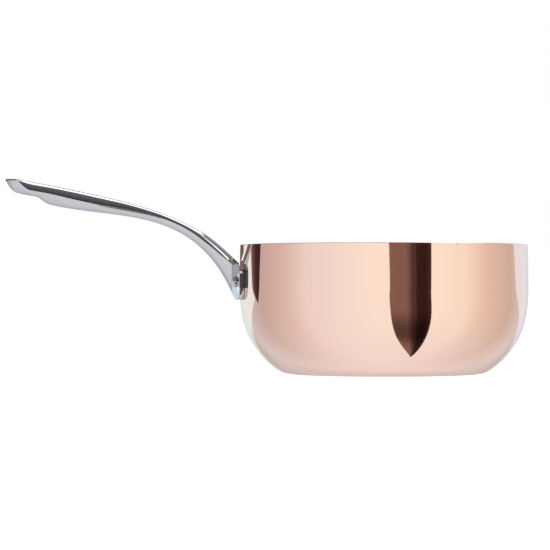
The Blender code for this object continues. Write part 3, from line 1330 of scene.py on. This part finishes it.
    def band_height(self, reach: float) -> float:
        """Height of the leaning band below the shoulder.

        Args:
            reach: Distance of the section from the bowl's axis.

        Returns:
            The height.
        """
        to_nose = min(max((self.brow_reach - reach) / self.band_nose_length, 0.0), 1.0)
        height = eased(self.band_stations, reach - self.root_reach)
        return max(self.band_least, height * math.sin(to_nose * math.pi / 2))

    def half_section(self, reach: float) -> list[Pair]:
        """One side of the handle's section.

        Args:
            reach: Distance of the section from the bowl's axis.

        Returns:
            (across, height) points from the crown's middle to the bottom's.
        """
        top = self.top_height(reach)
        bottom = self.bottom_height(reach)
        crown = self.crown_height(reach)
        band = self.band_height(reach)
        waist = self.half_width(reach)
        shoulder = waist - band * (self.band_top_lean + self.band_low_lean) / 2
        flank = top - crown - band - bottom
        half = []
        for angle in spread(0.0, self.crown_sweep, self.crown_steps):
            across = shoulder * math.sin(angle) / math.sin(self.crown_sweep)
            drop = crown * (1 - math.cos(angle)) / (1 - math.cos(self.crown_sweep))
            half.append((across, top - drop))
        for share in spread(0.0, 1.0, self.band_steps)[1:-1]:
            lean = self.band_top_lean * share - (self.band_top_lean - self.band_low_lean) * share**2 / 2
            half.append((shoulder + band * lean, top - crown - band * share))
        for angle in spread(0.0, math.pi / 2, self.flank_steps):
            across = waist * abs(math.cos(angle)) ** (2 / self.flank_power)
            half.append((across, bottom + flank * (1 - math.sin(angle) ** (2 / self.flank_power))))
        return half

    def arm_reaches(self) -> list[float]:
        """Where the sections are taken, closer together where the shape changes fast.

        Returns:
            Reaches from the root to the tip.
        """
        quarter = spread(0.0, math.pi / 2, self.fillet_steps)
        web = spread(self.face_reach, self.corner_reach, self.web_steps)
        fillet = [self.fillet_reach - self.root_fillet * math.cos(angle) for angle in quarter]
        arm = spread(self.fillet_reach, self.stop_reach, self.arm_steps)
        stop = spread(self.stop_reach, self.stop_reach + self.stop_length, self.stop_steps)
        level = spread(self.stop_reach + self.stop_length, self.brow_reach, self.stop_steps)
        turn = spread(0.0, math.pi / 2, self.nose_steps)
        nose = [self.brow_reach + self.nose_length * math.sin(angle) for angle in turn]
        inside = [self.root_reach + self.web_sink] + web[:-1]
        return inside + fillet + arm[1:] + stop[1:] + level[1:] + nose[1:]

    def arm(self) -> Piece:
        """The arm, from inside the flange to the nose.

        Returns:
            The piece.
        """
        rings = []
        for reach in self.arm_reaches():
            half = self.half_section(reach)
            around = half + [(-across, height) for across, height in half[-2:0:-1]]
            rings.append([(-reach, across, height) for across, height in around])
        return lofted("cast_handle", rings)

    def flange(self) -> Piece:
        """The plate: a rectangle with rounded corners, thickened, bevelled and wrapped to the wall.

        Returns:
            The piece.
        """
        middle = (self.flange_top + self.flange_bottom) / 2
        Piece.clear_selection()
        bpy.ops.mesh.primitive_plane_add(size=1.0)
        plate = Piece("flange")
        plate.body.scale = (self.flange_height, self.flange_width, 1.0)
        plate.turn((0.0, -math.pi / 2, 0.0), (0.0, 0.0, middle))
        with plate.editing():
            for above, radius in ((True, self.flange_top_round), (False, self.flange_bottom_round)):
                plate.select("VERT", lambda v, above=above: (v.co.z > middle) == above)
                bpy.ops.mesh.bevel(offset=radius, segments=self.corner_steps, affect="VERTICES")
            half = self.flange_width / 2
            columns = spread(-half, half, round(self.flange_width / self.column_pitch))[1:-1]
            levels = round(self.flange_height / self.row_pitch)
            rows = spread(self.flange_bottom, self.flange_top, levels)[1:-1]
            cuts = [((0.0, y, 0.0), (0.0, 1.0, 0.0)) for y in columns]
            cuts += [((0.0, 0.0, z), (0.0, 0.0, 1.0)) for z in rows]
            for place, normal in cuts:
                bpy.ops.mesh.select_all(action="SELECT")
                bpy.ops.mesh.bisect(plane_co=place, plane_no=normal)
            bpy.ops.mesh.select_mode(type="FACE")
            bpy.ops.mesh.select_all(action="SELECT")
            thickness = (-self.flange_thickness, 0.0, 0.0)
            bpy.ops.mesh.extrude_region_move(TRANSFORM_OT_translate={"value": thickness})
            plate.close_up()
            front = -self.flange_thickness + MERGE
            plate.select("EDGE", lambda edge: self.is_front_rim(edge, front))
            bpy.ops.mesh.bevel(offset=self.flange_edge, segments=self.edge_steps, affect="EDGES")
            plate.move(self.wrapped)
            plate.close_up()
        return plate

    def is_front_rim(self, edge: bmesh.types.BMEdge, front: float) -> bool:
        """Whether an edge of the flat plate lies round its front face."""
        on_front = all(vertex.co.x < front for vertex in edge.verts)
        return on_front and any(abs(face.normal.x) < self.rim_facing for face in edge.link_faces)

    def wrapped(self, flat: Vector) -> Vector:
        """Where a point of the flat plate lies once it hugs the wall and leans out to the arm.

        Args:
            flat: The point's place in the flat plate.

        Returns:
            Its place in the flange.
        """
        inner = self.bowl.wall(flat.z) + self.clearance
        angle = math.asin(flat.y / (inner + self.flange_thickness))
        near = Vector((-inner * math.cos(angle), inner * math.sin(angle), flat.z))
        far = Vector((-self.flange_reach(flat.y, flat.z), flat.y, flat.z))
        return near.lerp(far, -flat.x / self.flange_thickness)

    def slot_cutter(self) -> Piece:
        """The cutter of the hanging slot, longer than the nose is deep.

        Returns:
            The piece.
        """
        centre = self.tip_reach - self.hole_setback
        radius = self.hole_width / 2
        straight = self.hole_length / 2 - radius
        far = arc((-centre - straight, 0.0), radius, math.pi / 2, 3 * math.pi / 2, self.nose_steps)
        near = arc((-centre + straight, 0.0), radius, -math.pi / 2, math.pi / 2, self.nose_steps)
        middle = self.flange_top + self.rise
        heights = (middle - 2 * self.nose_depth, middle + self.nose_depth)
        return lofted("slot_cutter", [[(x, y, z) for x, y in far + near] for z in heights])

    def is_slot_lip(self, edge: bmesh.types.BMEdge) -> bool:
        """Whether an edge runs round the hanging slot's mouth, above or below.

        Args:
            edge: An edge of the handle.

        Returns:
            True where it does.
        """
        along = self.hole_length * self.lip_search
        across = self.hole_width * self.lip_search
        centre = self.tip_reach - self.hole_setback
        near = all(abs(v.co.x + centre) < along and abs(v.co.y) < across for v in edge.verts)
        return near and len(edge.link_faces) == 2 and edge.calc_face_angle() > self.lip_angle

    def build(self, rivets: Rivets) -> None:
        """Model the handle, drill it for the rivets and dress it.

        Args:
            rivets: The rivets that hold it.
        """
        arm = self.arm()
        arm.boolean("UNION", self.flange())
        arm.boolean("DIFFERENCE", self.slot_cutter())
        rivets.seat(arm)
        rivets.drill(arm)
        with arm.editing():
            arm.select("EDGE", self.is_slot_lip)
            bpy.ops.mesh.bevel(offset=self.hole_round, segments=self.edge_steps, affect="EDGES")
        arm.hand_over("handle", Slot.CAST_STEEL, self.steel, self.sharp_edge)


# Studio


@dataclass(frozen=True)
class Edge:
    """A soft edge among directions: a plane through their middle, or beside it."""

    facing: Triple
    offset: float = 0.0
    blur: float = 0.03


@dataclass(frozen=True)
class Zone:
    """Part of the light tent: one colour between edges."""

    colour: Triple
    edges: tuple[Edge, ...]


def turned_over(degrees: float, blur: float = 0.03) -> Edge:
    """The edge of what lies further up from the front, and over to the back, than an angle."""
    turn = math.radians(degrees)
    return Edge((0.0, math.sin(turn), math.cos(turn)), blur=blur)


class Sky:
    """Builds up the world's light in layers that are told apart by direction."""

    def __init__(self, shader: Shader) -> None:
        """Start with the direction.

        Args:
            shader: The world's builder.
        """
        self.shader = shader
        self.direction = shader.node("ShaderNodeTexCoord", None, None, "Generated")
        self.x, self.y, self.z = shader.split(self.direction)

    def reach(self, edge: Edge) -> Socket:
        """How far past an edge a direction lies."""
        return self.shader.vector("DOT_PRODUCT", self.direction, edge.facing, "Value") + edge.offset

    def past(self, *edges: Edge) -> Socket:
        """1 past all of the edges, 0 before any of them."""
        return math.prod(self.reach(edge).above(0.0, edge.blur) for edge in edges)

    def laid(self, zone: Zone, light: object) -> Socket:
        """The light with a zone laid over it."""
        return self.shader.mix(self.past(*zone.edges), light, zone.colour)

    def gap(self, left: Socket, right: Socket, stops: Stops) -> Socket:
        """The colours across a gap, read from the distances past its two edges."""
        return self.shader.ramp(stops, left / (left + right))


@dataclass(frozen=True)
class LightTent:
    """Light panels round the pan and the dark gaps between them, told apart by direction."""

    panel_tops: Pair = (0.14, 0.16)
    over_panels: Triple = (0.06, 0.06, 0.065)
    gap_top: Zone = Zone((0.20, 0.20, 0.21), (turned_over(20.0, blur=0.45),))
    high_front: Zone = Zone((0.34, 0.34, 0.35), (turned_over(46.0),))
    back_edge: Edge = turned_over(130.0)
    back_left: Triple = (0.14, 0.135, 0.14)
    back_right: Zone = Zone((0.40, 0.40, 0.41), (Edge(TO_RIGHT, blur=0.25),))
    overhead_box: Zone = Zone(
        (2.2, 2.2, 2.2),
        (
            turned_over(105.0),
            Edge((-0.824, -0.073, 0.561)),
            Edge((0.0, -0.425, 0.905), blur=0.02),
            Edge((1.5, 0.0, 0.25)),
        ),
    )
    side_box: Triple = (1.9, 1.88, 1.85)
    side_box_lean: float = 0.60
    side_box_more: float = 0.28
    side_box_turn: Pair = (0.40, 0.50)
    side_box_rim: Pair = (0.02, 0.05)
    side_box_end: Pair = (0.0, 0.1)

    around: Stops = (
        (0.03, (0.54, 0.48, 0.50)),
        (0.10, (0.69, 0.71, 0.77)),
        (0.28, (0.63, 0.55, 0.54)),
        (0.55, (0.81, 0.71, 0.68)),
        (0.71, (0.95, 0.95, 0.95)),
        (1.0, (1.04, 1.08, 1.05)),
    )
    left_tint: Triple = (0.95, 0.96, 1.00)
    right_tint: Triple = (1.05, 1.04, 0.99)
    tint_reach: float = 0.9
    left_strip: Triple = (0.88, 1.07, 1.20)
    left_strip_far: Triple = (0.7788, 0.9095, 0.96)
    right_strip: Triple = (0.86, 0.98, 1.12)
    right_strip_far: Triple = (0.688, 0.7546, 0.8568)
    strip_far: Pair = (0.80, 1.0)
    strip_middle: float = 0.2
    strip_edge: Edge = Edge((-0.020, 0.434, 0.836), blur=0.012)
    strip_spread: float = 0.300
    strip_foot: Pair = (-0.28, -0.17)
    table_end: Zone = Zone(
        (1.22, 1.33, 1.34),
        (
            Edge(UP, 0.008, 0.003),
            Edge(DOWN, 0.010, 0.005),
            Edge(TO_BACK, -0.80, 0.06),
            Edge(TO_LEFT, -0.05, 0.05),
        ),
    )
    far_wall: Zone = Zone(
        (0.14, 0.135, 0.14),
        (Edge((2.03, 1.0, 0.0)), Edge(TO_LEFT, 0.09, 0.02), Edge(UP, -0.005, 0.005)),
    )
    table: Triple = (0.955, 0.985, 1.03)
    table_far: Zone = Zone(
        (1.335, 1.545, 1.63), (Edge(TO_BACK, -0.62, 0.24), Edge((-0.15, 0.0, -1.0), -0.15, 0.12))
    )
    table_top: Edge = Edge(DOWN, 0.001, 0.002)
    table_fading: float = 1.6

    back_gap: Stops = (
        (0.0, (0.22, 0.15, 0.17)),
        (0.12, (0.20, 0.12, 0.14)),
        (0.22, (0.11, 0.05, 0.06)),
        (0.38, (0.07, 0.03, 0.04)),
        (0.6, (0.052, 0.022, 0.03)),
    )
    back_gap_left: Edge = Edge((-0.255, -0.292, 0.922))
    back_gap_right: Edge = Edge((0.422, 0.737, 0.45), 0.014)
    back_gap_blur: float = 0.012

    front_gap: Stops = (
        (0.0, (0.255, 0.145, 0.122)),
        (0.40, (0.24, 0.15, 0.13)),
        (0.44, (0.185, 0.102, 0.092)),
        (0.48, (0.18, 0.10, 0.09)),
        (0.51, (0.10, 0.050, 0.045)),
        (0.61, (0.085, 0.040, 0.040)),
        (0.645, (0.042, 0.018, 0.017)),
        (0.85, (0.034, 0.015, 0.016)),
        (1.0, (0.075, 0.028, 0.026)),
    )
    front_gap_left: Edge = Edge((1.0, 0.0, 0.055), -0.0285)
    front_gap_right: Edge = Edge((-0.826, -0.552, -0.096), 0.0197)
    front_gap_blur: float = 0.006
    front_gap_tops: Pair = (0.10, 0.15)
    tip_power: float = 6.0
    tip_left: float = 0.140
    tip_right: float = 0.032
    left_bow: float = 0.042
    swell: float = 0.0095
    swell_rise: Pair = (-0.05, 0.015)
    swell_fall: Pair = (0.015, 0.08)
    flare: float = 0.0155
    flare_rise: Pair = (-0.04, 0.08)
    low_dimming: float = 0.6
    dimming_starts: Pair = (-0.64, -0.12)
    dimming_ends: Pair = (-0.93, -0.72)

    backdrop: Triple = (1.0, 1.0, 1.0)

    def hang(self) -> None:
        """Put the tent in the scene's world."""
        world = bpy.data.worlds.new("light_tent")
        world.use_nodes = True
        bpy.context.scene.world = world
        shader = Shader(world.node_tree)
        sky = Sky(shader)
        light = shader.mix(sky.z.below(*self.panel_tops), self.upper(sky), self.panels(sky))
        light = self.with_front_gap(sky, self.with_back_gap(sky, light))
        seen = shader.node("ShaderNodeLightPath", None, None, "Is Camera Ray")
        colour = shader.mix(seen, light, self.backdrop)
        background = shader.node("ShaderNodeBackground", None, {"Color": colour, "Strength": 1.0})
        shader.node("ShaderNodeOutputWorld", None, {"Surface": background})

    def upper(self, sky: Sky) -> Socket:
        """Above the panels: a dark gap, a grey front, the back walls, and boxes overhead and beside.

        Args:
            sky: The world's sky.

        Returns:
            The light.
        """
        light = sky.laid(self.high_front, sky.laid(self.gap_top, self.over_panels))
        back = sky.laid(self.back_right, self.back_left)
        light = sky.shader.mix(sky.past(self.back_edge), light, back)
        light = sky.laid(self.overhead_box, light)
        lean = (-sky.y).above(*self.side_box_turn) * self.side_box_more + self.side_box_lean
        side = (sky.x - sky.z * lean).above(*self.side_box_rim) * (-sky.y).above(*self.side_box_end)
        return sky.shader.mix(side, light, self.side_box)

    def panels(self, sky: Sky) -> Socket:
        """The panels, brightest in front, a cool strip behind each side, and the table below.

        Args:
            sky: The world's sky.

        Returns:
            The light.
        """
        shader, x, z = sky.shader, sky.x, sky.z
        level = shader.vector("LENGTH", shader.joined(x, sky.y, 0.0), output="Value")
        backwards = sky.y / level
        tint = shader.mix(x.above(-self.tint_reach, self.tint_reach), self.left_tint, self.right_tint)
        light = shader.vector("MULTIPLY", shader.ramp(self.around, 0.5 - backwards * 0.5), tint)
        far = backwards.above(*self.strip_far)
        left = shader.mix(far, self.left_strip, self.left_strip_far)
        right = shader.mix(far, self.right_strip, self.right_strip_far)
        strips = shader.mix(x.above(-self.strip_middle, self.strip_middle), left, right)
        above = sky.reach(self.strip_edge) - x.size() * self.strip_spread
        strip = above.above(0.0, self.strip_edge.blur) * z.above(*self.strip_foot)
        light = shader.mix(strip, light, sky.laid(self.table_end, strips))
        below = (1.0 - level**self.table_fading) * sky.past(self.table_top)
        return shader.mix(below, sky.laid(self.far_wall, light), sky.laid(self.table_far, self.table))

    def with_back_gap(self, sky: Sky, light: Socket) -> Socket:
        """Add the narrow dark gap behind the left side panel.

        Args:
            sky: The world's sky.
            light: The light so far.

        Returns:
            The light with the gap in it.
        """
        left, right = sky.reach(self.back_gap_left), sky.reach(self.back_gap_right)
        share = left.above(0.0, self.back_gap_blur) * right.above(0.0, self.back_gap_blur)
        share = share * sky.z.below(*self.panel_tops)
        return sky.shader.mix(share, light, sky.gap(left, right, self.back_gap))

    def with_front_gap(self, sky: Sky, light: Socket) -> Socket:
        """Add the dark gap between the two front panels, which narrows to a point below.

        Args:
            sky: The world's sky.
            light: The light so far.

        Returns:
            The light with the gap in it.
        """
        shader, z = sky.shader, sky.z
        tip = z.size() ** self.tip_power
        swell = z.above(*self.swell_rise) * z.below(*self.swell_fall) * self.swell
        flare = z.above(*self.flare_rise) * self.flare
        left = sky.reach(self.front_gap_left) - swell - tip * self.tip_left - z * z * self.left_bow
        right = sky.reach(self.front_gap_right) + flare + tip * self.tip_right
        share = left.above(0.0, self.front_gap_blur) * right.above(0.0, self.front_gap_blur)
        share = share * z.below(*self.front_gap_tops)
        dim = 1.0 - z.below(*self.dimming_starts) * z.above(*self.dimming_ends) * self.low_dimming
        dark = sky.gap(left, right, self.front_gap)
        dark = shader.vector("MULTIPLY", dark, shader.joined(dim, dim, dim))
        return shader.mix(share, light, dark)


@dataclass(frozen=True)
class Studio:
    """Pale floor, light tent and the camera at the photograph's viewing angle."""

    camera_place: Triple = (-0.09353, -2.1500, 0.07023)
    focal_pixels: float = 2498.2
    image_pixels: float = 550.0
    sensor_width: float = 36.0
    nearest: float = 0.1
    tilt_pixels: float = 17.0
    floor_radius: float = 60.0
    floor_sides: int = 64
    floor_drop: float = 0.0005
    floor_colour: Triple = (0.30, 0.30, 0.30)
    floor_roughness: float = 0.9
    floor_glow: float = 1.0
    tent: LightTent = LightTent()

    def build(self) -> None:
        """Put everything of the studio in the scene."""
        self.tent.hang()
        self.place_camera()
        self.lay_floor()
        bpy.context.scene.view_settings.view_transform = "Standard"
        bpy.context.scene.view_settings.look = "None"
        log.info("studio is set")

    def place_camera(self) -> None:
        """Add the camera, level with the pan and tipped up a touch."""
        camera = bpy.data.cameras.new("camera")
        camera.sensor_width = self.sensor_width
        camera.lens = self.focal_pixels / self.image_pixels * self.sensor_width
        camera.clip_start = self.nearest
        mount = bpy.data.objects.new("camera", camera)
        mount.location = self.camera_place
        mount.rotation_euler = (math.pi / 2 + math.atan(self.tilt_pixels / self.focal_pixels), 0.0, 0.0)
        bpy.context.scene.collection.objects.link(mount)
        bpy.context.scene.camera = mount

    def lay_floor(self) -> None:
        """Add the floor, which shows from above only and isn't mirrored in the metal."""
        Piece.clear_selection()
        place = (0.0, 0.0, -self.floor_drop)
        bpy.ops.mesh.primitive_circle_add(
            vertices=self.floor_sides, radius=self.floor_radius, fill_type="NGON", location=place
        )
        floor = Piece("floor").body
        floor.visible_glossy = False
        material = bpy.data.materials.new("pale_floor")
        material.use_nodes = True
        shader = Shader(material.node_tree)
        paint = {
            "Base Color": (*self.floor_colour, 1.0),
            "Roughness": self.floor_roughness,
            "Emission Color": (1.0, 1.0, 1.0, 1.0),
            "Emission Strength": self.floor_glow,
        }
        top = shader.node("ShaderNodeBsdfPrincipled", None, paint)
        below = shader.node("ShaderNodeBsdfTransparent")
        back = shader.node("ShaderNodeNewGeometry", None, None, "Backfacing")
        mixed = shader.node("ShaderNodeMixShader", None, {0: back, 1: top, 2: below})
        shader.node("ShaderNodeOutputMaterial", None, {"Surface": mixed})
        floor.data.materials.append(material)


def main() -> None:
    """Build the pan's pieces and the studio in order."""
    bowl = Bowl()
    handle = Handle(bowl)
    rivets = Rivets(bowl, handle.rivet_height, handle.rivet_spread, handle.seat_reach)
    bowl.build(rivets)
    handle.build(rivets)
    rivets.build()
    Studio().build()


if __name__ == "__main__":
    logging.basicConfig(level=logging.INFO, format="%(name)s: %(message)s")
    main()
